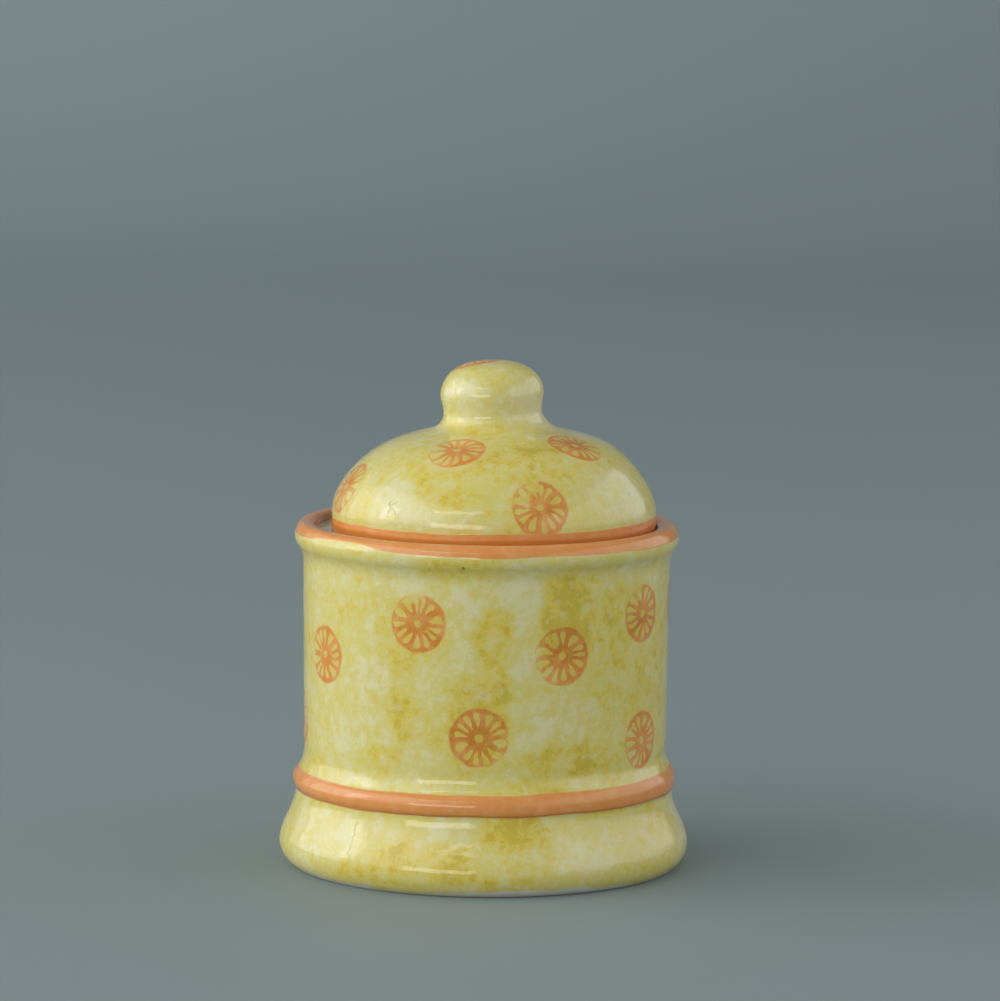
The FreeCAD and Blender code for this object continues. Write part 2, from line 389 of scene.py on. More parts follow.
def lathe(name, radius, height, azimuths):
    """A closed mesh from tables of radius and height, one row per column of the turned outline.

    The first and last points of the outline are on the axis and become single vertices.
    """
    columns, rows = radius.shape
    x = radius * np.sin(azimuths)[:, None]
    y = -radius * np.cos(azimuths)[:, None]
    ring = np.stack([x, y, height], axis=2)[:, 1:-1].reshape(-1, 3)
    start = [0, 0, height[0, 0]]
    end = [0, 0, height[0, -1]]
    vertices = np.vstack([ring, start, end])
    inner = rows - 2
    column = np.arange(columns)
    following = (column + 1) % columns
    step = np.arange(inner - 1)
    a = (column[:, None] * inner + step).ravel()
    b = (following[:, None] * inner + step).ravel()
    quads = np.stack([a, b, b + 1, a + 1], axis=1)
    first, last = len(ring), len(ring) + 1
    caps = [(first, following[i] * inner, i * inner) for i in column]
    caps += [(last, i * inner + inner - 1, following[i] * inner + inner - 1) for i in column]
    caps = [tuple(int(v) for v in cap) for cap in caps]
    mesh = bpy.data.meshes.new(name)
    mesh.from_pydata((vertices * MM).tolist(), [], quads.tolist() + caps)
    mesh.polygons.foreach_set("use_smooth", [True] * len(mesh.polygons))
    mesh.update()
    piece = bpy.data.objects.new(name, mesh)
    bpy.context.scene.collection.objects.link(piece)
    return piece


def unevenness(azimuths, height, depth, seed):
    """How far inside the true round the wall lies, from 0 to depth, in slow waves."""
    rng = np.random.default_rng(seed)
    total = np.zeros((len(azimuths), len(height)))
    for waves in (2, 3, 5, 7):
        phase, twist, rise = rng.uniform(0, math.tau, 3)
        climb = 0.02 + 0.05 * rise / math.tau
        angle = waves * azimuths[:, None] + climb * height[None, :] * waves + phase
        total += np.sin(angle + 0.7 * np.sin(0.11 * height[None, :] + twist)) / waves
    return depth * (0.5 + 0.5 * total / np.abs(total).max())


def read_all(items, key, width, kind=float):
    """One property of all of a mesh's points, faces or corners, as a table."""
    values = np.empty(len(items) * width, kind)
    items.foreach_get(key, values)
    return values.reshape(-1, width)


def move_points(piece, change):
    """Moves a mesh's points by a function of their places in millimetres."""
    mesh = piece.data
    places = change(read_all(mesh.vertices, "co", 3) / MM) * MM
    mesh.vertices.foreach_set("co", places.ravel())
    mesh.update()


def make_pot():
    """The pot, turned from its outline, with the unevenness of a hand-made one."""
    outline = pot_outline()
    azimuths = np.linspace(-math.pi, math.pi, POT_COLUMNS, endpoint=False)
    inset = unevenness(azimuths, outline[:, 1], POT_WOBBLE, seed=4)
    radius = np.maximum(outline[None, :, 0] - inset * (outline[None, :, 0] > 1), 0)
    # Above the foot the wall stands a little fuller, most at the right.
    outer = np.clip((outline[:, 0] - LEDGE_RADIUS + 0.5) / FULL_DEPTH, 0, 1)
    above = np.clip((outline[:, 1] - BEAD_Z) / FULL_HEIGHT, 0, 1)
    right = np.maximum(np.sin(azimuths), 0)[:, None]
    radius += outer * above * (FULLNESS + FULLNESS_RIGHT * right)
    height = np.repeat(outline[None, :, 1], POT_COLUMNS, axis=0)
    # The top of the bead climbs from the left to the right.
    outside = np.arange(len(outline)) < len(outline) // 2
    near_top = np.clip(1 - np.abs(outline[:, 1] - WAIST_Z) / WAIST_HEIGHT, 0, 1) * outside
    climb = BEAD_CLIMB * np.sin(azimuths)[:, None] * (near_top * near_top * (3 - 2 * near_top))
    return lathe("jam_pot_body", radius, height + climb, azimuths)


def notch_lift(azimuths):
    """How far the notch raises the lid's edge at each azimuth."""
    half = NOTCH_WIDTH / 2
    away = (azimuths - math.radians(NOTCH_AZIMUTH) + math.pi) % math.tau - math.pi
    across = np.clip(np.abs(away) * LID_RADIUS / half, 0, 1)
    arch = NOTCH_HEIGHT - half + half * np.sqrt(1 - across**2)
    return np.where(across < 1, arch, 0)


def make_lid():
    """The lid on its ledge, with the spoon notch in its edge."""
    inside, outside = lid_inside(), lid_outside()
    r = LID_EDGE_ROUND
    c = r * (1 - math.sqrt(0.5))
    inner, outer = LID_RADIUS - LID_WALL, LID_RADIUS
    edge = np.concatenate(
        [
            corner((inner, r), (inner + c, c), (inner + r, 0)),
            straight((inner + r, 0), (outer - r, 0), 0.8),
            [(outer - r, 0)],
            corner((outer - r, 0), (outer - c, c), (outer, r)),
        ]
    )
    outline = np.concatenate([inside, edge, outside])
    side = np.concatenate(
        [
            np.zeros(len(inside)),
            np.clip((edge[:, 0] - inner) / (outer - inner), 0, 1),
            np.ones(len(outside)),
        ]
    )

    def inner_radius(height):
        return np.interp(height, inside[::-1, 1], inside[::-1, 0])

    climbing = outside[:, 1] <= LID_SKIRT + DOME_RISE

    def outer_radius(height):
        return np.interp(height, outside[climbing, 1], outside[climbing, 0])

    # The columns are closer together across the notch.
    notch = math.radians(NOTCH_AZIMUTH)
    reach = 1.06 * NOTCH_WIDTH / 2 / LID_RADIUS
    coarse = np.linspace(-math.pi, math.pi, LID_COLUMNS, endpoint=False)
    fine = notch + reach * np.sin(np.linspace(-math.pi / 2, math.pi / 2, NOTCH_COLUMNS))
    azimuths = np.sort(np.concatenate([coarse[np.abs(coarse - notch) > reach * 1.02], fine]))

    # The notch raises the edge, and the outline above it closes up until the blend height.
    lift = notch_lift(azimuths)[:, None]
    blend_height = 2.2 * NOTCH_HEIGHT
    flat = outline[None, :, 1]
    height = np.where(flat < blend_height, lift + flat * (blend_height - lift) / blend_height, flat)
    low = flat < blend_height
    change_in = inner_radius(height) - inner_radius(flat)
    change_out = outer_radius(height) - outer_radius(flat)
    radius = outline[None, :, 0] + low * ((1 - side) * change_in + side * change_out)
    inset = unevenness(azimuths, outline[:, 1], LID_WOBBLE, seed=9)
    radius = np.maximum(radius - inset * (outline[None, :, 0] > 1), 0)
    piece = lathe("jam_pot_lid", radius, height + LEDGE_Z, azimuths)

    def settle(places):
        """Slides the lid to its side, and lets the dome and knob stand a little off centre."""
        lean = np.interp(places[:, 2], *np.transpose(LID_LEAN))
        # The dome is a little higher at its shoulders, most at the right.
        shoulder = np.clip(1 - np.abs(places[:, 2] - SHOULDER_Z) / SHOULDER_REACH, 0, 1)
        shoulder *= shoulder * (3 - 2 * shoulder)
        side_rise = SHOULDER_RISE_RIGHT * np.clip(places[:, 0] / SHOULDER_SIDE, -1, 1)
        places[:, 2] += shoulder * (SHOULDER_RISE + side_rise)
        places[:, 0] += LID_SHIFT + lean
        return places

    move_points(piece, settle)
    return piece


# --- sponged patches and printed slices ---


def outer_point(outline, height):
    """The outside's radius at a height, and how much it grows over the millimetre around it."""
    outside = outline[outline[:, 0] > 0.3]
    rising = np.concatenate([[True], np.diff(outside[:, 1]) > 0])
    outside = outside[rising]
    radius = np.interp(height, outside[:, 1], outside[:, 0])
    above = np.interp(height + 0.5, outside[:, 1], outside[:, 0])
    below = np.interp(height - 0.5, outside[:, 1], outside[:, 0])
    return radius, above - below


def lying_plane(outline, azimuth, height, shift):
    """A point on the outside, and the directions along the turn, up the side and outwards."""
    angle = math.radians(azimuth)
    radius, slope = outer_point(outline, height)
    middle = np.array([radius * math.sin(angle) + shift, -radius * math.cos(angle), height])
    along = np.array([math.cos(angle), math.sin(angle), 0])
    up = np.array([math.sin(angle) * slope, -math.cos(angle) * slope, 1])
    up /= np.linalg.norm(up)
    return middle, along, up, np.cross(along, up)


def corner_places(mesh):
    """Where each corner of each face is, in millimetres."""
    corners = read_all(mesh.loops, "vertex_index", 1, int).ravel()
    return (read_all(mesh.vertices, "co", 3) / MM)[corners]


def scattered_patches(low, high, seed):
    """Patches for the back, at heights between low and high."""
    rng = np.random.default_rng(seed)
    patches = []
    for i in range(PATCHES_BEHIND):
        azimuth = 80 + 200 * (i + rng.uniform(0.1, 0.9)) / PATCHES_BEHIND
        tone = rng.uniform(0.3, 0.9) if i % 2 else rng.uniform(-0.8, -0.3)
        size = rng.uniform(4, 10, 2)
        patches.append((azimuth, rng.uniform(low, high), size[0], 0.8 * size[1], tone))
    return patches


def lay_patches(piece, outline, patches, shift):
    """Writes how golden the sponged glaze is into a UV map, along its first axis; some creamy
    patches are painted highlights.
    """
    mesh = piece.data
    places = corner_places(mesh)
    tone = np.zeros(len(places))
    for azimuth, height, half_width, half_height, strength in patches:
        middle, along, up, _ = lying_plane(outline, azimuth, height, shift)
        offset = places - middle
        across, rise = np.abs(offset @ along) / half_width, np.abs(offset @ up) / half_height
        away = (across**3 + rise**3) ** (1 / 3)
        cover = np.clip((PATCH_EDGE[0] - away) / (PATCH_EDGE[0] - PATCH_EDGE[1]), 0, 1)
        cover *= np.linalg.norm(offset, axis=1) < PATCH_REACH
        tone += strength * cover * cover * (3 - 2 * cover)
    flat = np.stack([np.clip(tone, -1.2, 1.2), np.zeros(len(tone))], axis=1)
    layer = mesh.uv_layers.new(name="Tone")
    layer.data.foreach_set("uv", flat.ravel())


def lay_stamps(piece, outline, stamps, shift):
    """Writes each slice's own flat coordinates, in stamp radii, into a UV map."""
    mesh = piece.data
    places = corner_places(mesh)
    centres = read_all(mesh.polygons, "center", 3) / MM
    normals = read_all(mesh.polygons, "normal", 3)
    totals = read_all(mesh.polygons, "loop_total", 1, int).ravel()
    owner = np.repeat(np.arange(len(totals)), totals)
    flat = np.full((len(places), 2), 3.0)
    for azimuth, height, turn, size in stamps:
        middle, along, up, facing = lying_plane(outline, azimuth, height, shift)
        spin = math.radians(turn)
        near = np.linalg.norm(centres - middle, axis=1) < 1.3 * STAMP_RADIUS
        near &= normals @ facing > 0.2
        mine = near[owner]
        offset = (places[mine] - middle) / (STAMP_RADIUS * size)
        across, rise = offset @ along, offset @ up
        flat[mine, 0] = across * math.cos(spin) + rise * math.sin(spin)
        flat[mine, 1] = rise * math.cos(spin) - across * math.sin(spin)
    layer = mesh.uv_layers.new(name="Stamp")
    layer.data.foreach_set("uv", flat.ravel())


# --- material graphs ---


class Graph:
    """Short names for the nodes of one material or group."""

    def __init__(self, tree):
        self.nodes = tree.nodes
        self.links = tree.links

    def put(self, socket, value):
        """Links another node's output to a socket, or sets it to a value."""
        if isinstance(value, bpy.types.NodeSocket):
            self.links.new(value, socket)
        else:
            socket.default_value = value

    def math(self, operation, a, b=0.0, c=0.0, clamp=False):
        node = self.nodes.new("ShaderNodeMath")
        node.operation = operation
        node.use_clamp = clamp
        for socket, value in zip(node.inputs, (a, b, c)):
            self.put(socket, value)
        return node.outputs[0]

    def vector_math(self, operation, a, b=(0, 0, 0)):
        node = self.nodes.new("ShaderNodeVectorMath")
        node.operation = operation
        self.put(node.inputs[0], a)
        if operation == "SCALE":
            self.put(node.inputs["Scale"], b)
        else:
            self.put(node.inputs[1], b)
        single = operation in ("LENGTH", "DISTANCE", "DOT_PRODUCT")
        return node.outputs["Value" if single else "Vector"]

    def step(self, value, low, high):
        """0 below low and 1 above high; the other way round if low is the higher."""
        node = self.nodes.new("ShaderNodeMapRange")
        node.interpolation_type = "SMOOTHSTEP"
        self.put(node.inputs["Value"], value)
        bounds = (high, low, 1.0, 0.0) if low > high else (low, high, 0.0, 1.0)
        for key, bound in zip(("From Min", "From Max", "To Min", "To Max"), bounds):
            self.put(node.inputs[key], bound)
        return node.outputs[0]

    def texture(self, kind, vector, scale):
        """A new texture node of a kind, at a scale in waves or points per metre."""
        node = self.nodes.new("ShaderNodeTex" + kind)
        self.put(node.inputs["Vector"], vector)
        node.inputs["Scale"].default_value = scale
        return node

    def noise(self, vector, scale, detail=2.0, roughness=0.5, distortion=0.0):
        node = self.texture("Noise", vector, scale)
        node.inputs["Detail"].default_value = detail
        node.inputs["Roughness"].default_value = roughness
        node.inputs["Distortion"].default_value = distortion
        return node.outputs["Fac"]

    def noise_vector(self, vector, scale):
        """Noise with its own value along each axis, about 0."""
        node = self.texture("Noise", vector, scale)
        return self.vector_math("SUBTRACT", node.outputs["Color"], (0.5, 0.5, 0.5))

    def dabs(self, vector, scale):
        """Squarish patches, each with its own tone from -0.5 to 0.5."""
        node = self.texture("Voronoi", vector, scale)
        node.feature = "SMOOTH_F1"
        node.distance = "CHEBYCHEV"
        node.inputs["Smoothness"].default_value = 0.25
        return self.math("SUBTRACT", self.split(node.outputs["Color"])[0], 0.5)

    def cells(self, vector, scale):
        """How far away the nearest of many scattered points is."""
        return self.texture("Voronoi", vector, scale).outputs["Distance"]

    def mix(self, amount, a, b):
        node = self.nodes.new("ShaderNodeMix")
        node.data_type = "RGBA"
        self.put(node.inputs[0], amount)
        self.put(node.inputs[6], (*a, 1) if isinstance(a, tuple) else a)
        self.put(node.inputs[7], (*b, 1) if isinstance(b, tuple) else b)
        return node.outputs[2]

    def split(self, vector):
        node = self.nodes.new("ShaderNodeSeparateXYZ")
        self.put(node.inputs[0], vector)
        return node.outputs

    def join(self, x, y, z):
        node = self.nodes.new("ShaderNodeCombineXYZ")
        for socket, value in zip(node.inputs, (x, y, z)):
            self.put(socket, value)
        return node.outputs[0]


def new_material(name):
    """A material with its graph, its shader and the place on the object."""
    material = bpy.data.materials.new(name)
    material.use_nodes = True
    g = Graph(material.node_tree)
    place = g.nodes.new("ShaderNodeTexCoord").outputs["Object"]
    return material, g, g.nodes["Principled BSDF"], place


# The slice's drawing, in stamp radii.
PETALS = 13
SPOKE_HALF_WIDTH = 0.070
LEAST_PETAL = 0.012  # half the width of a petal where it is narrowest
PETAL_OUTER_END = 0.81
PETAL_INNER_END = 0.38
PETAL_ROUNDING = (3.0, 2.5)  # powers along and across a petal
PETAL_EDGE = (1.45, 0.65)
DISC_EDGE = (1.0, 0.92)
HUB_EDGE = (0.17, 0.09)
WEAK_FROM = (-0.1, 0.9)  # the weak side sets in between these, towards -X
PRINT_STRENGTH = 0.74  # of the paint where it is patchy
PRINT_PATCHES = 0.22  # how much stronger it is elsewhere
WEAK_LOSS = 0.18  # and how much weaker on the weak side
BARE_LOSS = 0.85  # how much paint is missing where the print failed


def citrus_slice():
    """A group that turns a slice's flat coordinates into how much paint is there."""
    group = bpy.data.node_groups.new("citrus_slice", "ShaderNodeTree")
    for name in ("Place", "Grain"):
        group.interface.new_socket(name, in_out="INPUT", socket_type="NodeSocketVector")
    for name in ("Paint", "Stain"):
        group.interface.new_socket(name, in_out="OUTPUT", socket_type="NodeSocketFloat")
    g = Graph(group)
    source = g.nodes.new("NodeGroupInput")
    sink = g.nodes.new("NodeGroupOutput")
    place, grain = source.outputs["Place"], source.outputs["Grain"]

    wander = g.math("SUBTRACT", g.noise(grain, 420.0, 2.0), 0.5)
    slow_wander = g.math("SUBTRACT", g.noise(grain, 260.0, 1.0), 0.5)
    x, y, _ = g.split(place)
    x = g.math("ADD", x, g.math("MULTIPLY", wander, 0.10))
    y = g.math("ADD", y, g.math("MULTIPLY", slow_wander, 0.12))
    distance = g.math("SQRT", g.math("ADD", g.math("MULTIPLY", x, x), g.math("MULTIPLY", y, y)))
    angle = g.math("ARCTAN2", y, x)

    # Where in its wedge a point lies: 0 at a petal's middle and 0.5 at the spoke's.
    turns = g.math("MULTIPLY", angle, PETALS / math.tau)
    uneven = g.math("MULTIPLY", g.math("SINE", g.math("MULTIPLY", angle, 3.0)), 0.16)
    uneven = g.math("MULTIPLY_ADD", g.noise(grain, 200.0, 1.0), 0.9, uneven)
    turns = g.math("ADD", g.math("ADD", turns, uneven), 40.0)
    within = g.math("ABSOLUTE", g.math("SUBTRACT", g.math("FRACT", turns), 0.5))
    sideways = g.math("MULTIPLY", g.math("MULTIPLY", within, distance), math.tau / PETALS)
    room = g.math("MULTIPLY", distance, math.pi / PETALS)
    half_width = g.math("SUBTRACT", room, SPOKE_HALF_WIDTH)
    half_width = g.math("MAXIMUM", half_width, LEAST_PETAL)
    # The weak side of the print, towards -X, has longer petals and a thin rim.
    weak = g.step(g.math("MULTIPLY", x, -1.0), *WEAK_FROM)
    outer_end = g.math("MULTIPLY_ADD", slow_wander, 0.2, PETAL_OUTER_END)
    outer_end = g.math("MULTIPLY_ADD", weak, 0.10, outer_end)
    inner_end = g.math("MULTIPLY_ADD", wander, 0.3, PETAL_INNER_END)
    middle = g.math("MULTIPLY", g.math("ADD", outer_end, inner_end), 0.5)
    half_length = g.math("MULTIPLY", g.math("SUBTRACT", outer_end, inner_end), 0.5)
    lengthways = g.math("DIVIDE", g.math("SUBTRACT", distance, middle), half_length)
    lengthways = g.math("POWER", g.math("ABSOLUTE", lengthways), PETAL_ROUNDING[0])
    across = g.math("POWER", g.math("DIVIDE", sideways, half_width), PETAL_ROUNDING[1])
    petal = g.step(g.math("ADD", lengthways, across), *PETAL_EDGE)
    disc = g.step(distance, *DISC_EDGE)
    hub = g.step(g.math("MULTIPLY_ADD", wander, 0.15, distance), *HUB_EDGE)
    paint = g.math("MULTIPLY", disc, g.math("SUBTRACT", 1.0, petal, clamp=True))
    paint = g.math("MULTIPLY", paint, g.math("SUBTRACT", 1.0, hub, clamp=True))
    # Sponge print: patchy, paler on the weak side and missing there in places.
    patchy = g.step(g.noise(grain, 700.0, 3.0, 0.6), 0.32, 0.56)
    patchy = g.math("MULTIPLY_ADD", patchy, PRINT_PATCHES, PRINT_STRENGTH)
    patchy = g.math("MULTIPLY_ADD", weak, -WEAK_LOSS, patchy)
    bare = g.math("MULTIPLY_ADD", weak, 0.20, g.noise(grain, 240.0, 2.0))
    gone = g.step(bare, 0.68, 0.80)
    paint = g.math("MULTIPLY", paint, patchy)
    paint = g.math("MULTIPLY", paint, g.math("MULTIPLY_ADD", gone, -BARE_LOSS, 1.0))
    g.links.new(paint, sink.inputs["Paint"])
    g.links.new(g.math("MULTIPLY", disc, g.math("SUBTRACT", 1.0, weak)), sink.inputs["Stain"])
    return group


# Linear colours of the glaze, the paint and the bare clay; the deeper band orange and the inner
# glaze are darkened as painted shade.
CREAM = (0.68, 0.635, 0.325)
YELLOW = (0.655, 0.57, 0.175)
GOLD = (0.66, 0.525, 0.09)
MUSTARD = (0.57, 0.435, 0.05)
GREEN = (0.58, 0.565, 0.13)
PALE_SPOT = (0.69, 0.645, 0.44)
BAND_ORANGE = (0.71, 0.275, 0.068)
# Deeper orange, painted shade low on the bands: under the bead and in the gap below the lid's band.
BAND_SHADE_ORANGE = (0.52, 0.16, 0.03)
PRINT_ORANGE = (0.68, 0.235, 0.035)
PRINT_DEEP = (0.54, 0.185, 0.02)
THIN_ORANGE = (0.74, 0.40, 0.15)
STAIN = (0.64, 0.46, 0.08)
BARE_CLAY = (0.66, 0.64, 0.56)
# The inner glaze, painted darker than its own colour, as shade.
LINER_IN_SHADE = (0.55, 0.54, 0.33)
CRACK = (0.22, 0.19, 0.08)

# The layers that make the glaze more or less golden than BASE_TONE: how much each counts for,
# then its noise's scale, detail, roughness and distortion.
BASE_TONE = 0.465
CLOUDS = (0.70, (42.0, 1.0, 0.5, 0.2))
BLOTCHES = (0.60, (170.0, 2.0, 0.5, 0.2))
SPONGE = (1.05, (560.0, 3.0, 0.65, 0.2))
GRAIN = (0.35, (1700.0, 2.0, 0.6))
CURDS = (0.26, (330.0, 4.0, 0.7))  # sharpened noise, for mottling
CURD_EDGE = (0.44, 0.60)
PATCH_WEIGHT = 0.44
DABS = [(0.28, 85.0), (0.24, 300.0)]  # how much each size of dab counts for, and its scale
RAGGED = (190.0, 0.007)  # scale and reach in metres of the wander in the dabs' edges
UPRIGHT = (1.0, 1.0, 0.9)  # draws the mottling out a little up the side
# Where each colour takes over from the one before it, as the tone gets more golden.
YELLOW_FROM = (-0.12, 0.46)
GOLD_FROM = (0.40, 0.80)
MUSTARD_FROM = (0.70, 1.10)
GREEN_AMOUNT = 0.25
PALE_AMOUNT = 0.30
SPECK_AMOUNT = 0.18

GLOSS = 0.03  # roughness of the glaze where it is smoothest
GLOSS_UNEVEN = 0.04
CLAY_ROUGHNESS = 0.45
PAINT_RELIEF = 0.06  # all reliefs are shares of the bump's distance
CRACK_RELIEF = -0.15
BUMP_STRENGTH = 0.4
BUMP_DISTANCE = 0.6 * MM


def glaze(name, slice_group, bands, flaws):
    """Glossy earthenware glaze: sponged yellow with orange paint in bands and slices.

    bands is a function that gives four masks: orange bands, painted shade low on the bands, plain
    inner glaze darkened as painted shade, and bare clay. flaws are small cracks and pits, from
    flaw_places.
    """
    material, g, shader, place = new_material(name)
    x, y, z = g.split(place)
    radius = g.math("SQRT", g.math("ADD", g.math("MULTIPLY", x, x), g.math("MULTIPLY", y, y)))

    # Sponged colour: patches, of which some creamy ones on the lid are painted highlights, square
    # dabs in two sizes, mottling and grain.
    tone_map = g.nodes.new("ShaderNodeUVMap")
    tone_map.uv_map = "Tone"
    tone = g.split(tone_map.outputs[0])[0]
    wander = g.vector_math("SCALE", g.noise_vector(place, RAGGED[0]), RAGGED[1])
    ragged = g.vector_math("ADD", place, wander)
    upright = g.vector_math("MULTIPLY", place, UPRIGHT)
    sponge = g.noise(upright, *SPONGE[1])
    curds = g.step(g.noise(upright, *CURDS[1]), *CURD_EDGE)
    layers = [
        (CLOUDS[0], g.noise(place, *CLOUDS[1])),
        (BLOTCHES[0], g.noise(upright, *BLOTCHES[1])),
        (SPONGE[0], sponge),
        (GRAIN[0], g.noise(place, *GRAIN[1])),
        (CURDS[0], curds),
    ]
    density = g.math("MULTIPLY_ADD", tone, PATCH_WEIGHT, BASE_TONE)
    for weight, scale in DABS:
        density = g.math("MULTIPLY_ADD", g.dabs(ragged, scale), weight, density)
    for weight, layer in layers:
        density = g.math("MULTIPLY_ADD", g.math("SUBTRACT", layer, 0.5), weight, density)
    colour = g.mix(g.step(density, *YELLOW_FROM), CREAM, YELLOW)
    colour = g.mix(g.step(density, *GOLD_FROM), colour, GOLD)
    colour = g.mix(g.step(density, *MUSTARD_FROM), colour, MUSTARD)
    greenish = g.step(g.noise(upright, 105.0, 2.0, 0.6), 0.57, 0.74)
    colour = g.mix(g.math("MULTIPLY", greenish, GREEN_AMOUNT), colour, GREEN)
    pale = g.step(g.noise(place, 300.0, 1.0), 0.60, 0.72)
    colour = g.mix(g.math("MULTIPLY", pale, PALE_AMOUNT), colour, PALE_SPOT)
    specks = g.step(g.cells(place, 800.0), 0.26, 0.08)
    specks = g.math("MULTIPLY", specks, g.step(sponge, 0.45, 0.6))
    colour = g.mix(g.math("MULTIPLY", specks, SPECK_AMOUNT), colour, PALE_SPOT)

    band, band_shade, lining_in_shade, clay = bands(g, place, z, radius)

    print_map = g.nodes.new("ShaderNodeUVMap")
    print_map.uv_map = "Stamp"
    slices = g.nodes.new("ShaderNodeGroup")
    slices.node_tree = slice_group
    g.links.new(print_map.outputs[0], slices.inputs["Place"])
    g.links.new(place, slices.inputs["Grain"])
    free = g.math("SUBTRACT", 1.0, band, clamp=True)
    paint = g.math("MULTIPLY", slices.outputs["Paint"], free)
    stain = g.math("MULTIPLY", slices.outputs["Stain"], free)

    # Inside, the inner glaze, darkened as painted shade.
    colour = g.mix(lining_in_shade, colour, LINER_IN_SHADE)
    thin = g.step(g.noise(place, 260.0, 3.0, 0.6), 0.40, 0.72)
    thin = g.math("MULTIPLY", thin, 0.5)
    colour = g.mix(g.math("MULTIPLY", stain, 0.6), colour, STAIN)
    print_tone = g.mix(g.step(density, 0.35, 1.1), PRINT_ORANGE, PRINT_DEEP)
    colour = g.mix(paint, colour, g.mix(thin, print_tone, THIN_ORANGE))
    band_tone = g.mix(thin, BAND_ORANGE, THIN_ORANGE)
    # Low on the bands the orange turns deeper: painted shade.
    colour = g.mix(band, colour, g.mix(g.math("MULTIPLY", band_shade, 0.75), band_tone, BAND_SHADE_ORANGE))
    colour = g.mix(clay, colour, BARE_CLAY)
    flaw = flaw_mask(g, place, flaws)
    colour = g.mix(flaw, colour, CRACK)
    g.links.new(colour, shader.inputs["Base Color"])

    rough = g.math("MULTIPLY_ADD", clay, CLAY_ROUGHNESS, GLOSS)
    rough = g.math("MULTIPLY_ADD", g.noise(place, 480.0, 2.0), GLOSS_UNEVEN, rough)
    g.links.new(rough, shader.inputs["Roughness"])
    shader.inputs["IOR"].default_value = 1.5

    ripple = g.math("ADD", g.noise(place, 120.0, 1.0), g.math("MULTIPLY", sponge, 0.12))
    relief = g.math("MULTIPLY_ADD", g.math("MAXIMUM", paint, band), PAINT_RELIEF, ripple)
    relief = g.math("MULTIPLY_ADD", flaw, CRACK_RELIEF, relief)
    bump = g.nodes.new("ShaderNodeBump")
    bump.inputs["Strength"].default_value = BUMP_STRENGTH
    bump.inputs["Distance"].default_value = BUMP_DISTANCE
    g.links.new(relief, bump.inputs["Height"])
    g.links.new(bump.outputs[0], shader.inputs["Normal"])
    return material


# Cracks, in millimetres, and how dark they are.
CRACK_WANDER = 6.0
CRACK_HALF_WIDTH = 0.26
CRACK_CORE = 0.06
CRACK_STRENGTH = 0.45


def flaw_mask(g, place, flaws):
    """Fine wandering cracks in the glaze and dark pits, each at its own place."""
    height = g.join(0.0, 0.0, g.split(place)[2])
    wander = g.math("SUBTRACT", g.noise(height, 420.0, 3.0, 0.7), 0.5)
    wander = g.math("MULTIPLY", wander, CRACK_WANDER * MM)
    mask = 0.0
    for kind, centre, across, reach in flaws:
        offset = g.vector_math("SUBTRACT", place, centre)
        near = g.step(g.vector_math("LENGTH", offset), reach, 0.75 * reach)
        if kind == "crack":
            sideways = g.math("ADD", g.vector_math("DOT_PRODUCT", offset, across), wander)
            line = g.step(g.math("ABSOLUTE", sideways), CRACK_HALF_WIDTH * MM, CRACK_CORE * MM)
            near = g.math("MULTIPLY", g.math("MULTIPLY", near, line), CRACK_STRENGTH)
        mask = g.math("MAXIMUM", mask, near)
    return mask


def between(g, value, low, high, soft):
    """1 between two edges, with a soft change at each."""
    rise = g.step(value, low - soft, low + soft)
    fall = g.step(value, high + soft, high - soft)
    return g.math("MULTIPLY", rise, fall)


def beyond(g, value, start, end):
    """0 where the value is at start, in millimetres, and 1 where it is at end."""
    return g.step(value, start * MM, end * MM)


def brush_edge(g, place, wander):
    """How far the edge of brushed paint strays up or down, from a wander in millimetres."""
    stray = g.math("SUBTRACT", g.noise(place, 60.0, 2.0, 0.5), 0.5)
    return g.math("MULTIPLY", stray, wander * MM)


# The painted bands, in millimetres unless a share is said.
POT_EDGE_WANDER = 1.3  # of the brushed edges
LID_EDGE_WANDER = 1.0
BEAD_TILT = 0.010  # climb of the bead's painted edges to the right, as a share of the way
LID_BAND_TILT = 0.011  # the same for the lid's band
BEAD_SOFT = 0.16
RIM_BAND_Z = 77.0
RIM_BAND_SOFT = 0.15
RIM_THIN_PLACE = (-32.0, -31.0, 77.0)  # where the glaze has run up over the rim's band
RIM_THIN = 1.0  # how much narrower the band is there
RIM_THIN_LEFT = 0.4  # and at the left as a whole
LID_BAND_HEIGHT = 3.9
LID_EDGE_WIDTH = 3.2  # the paint reaches this far in under the lid
BARE_HEIGHT = 0.9  # the glaze starts this far up the foot
BARE_WANDER = 3.0
BARE_HIGHEST = (15.0, -44.0, 0.0)  # where the glaze starts highest
BARE_RISE = 1.2  # and by how much more


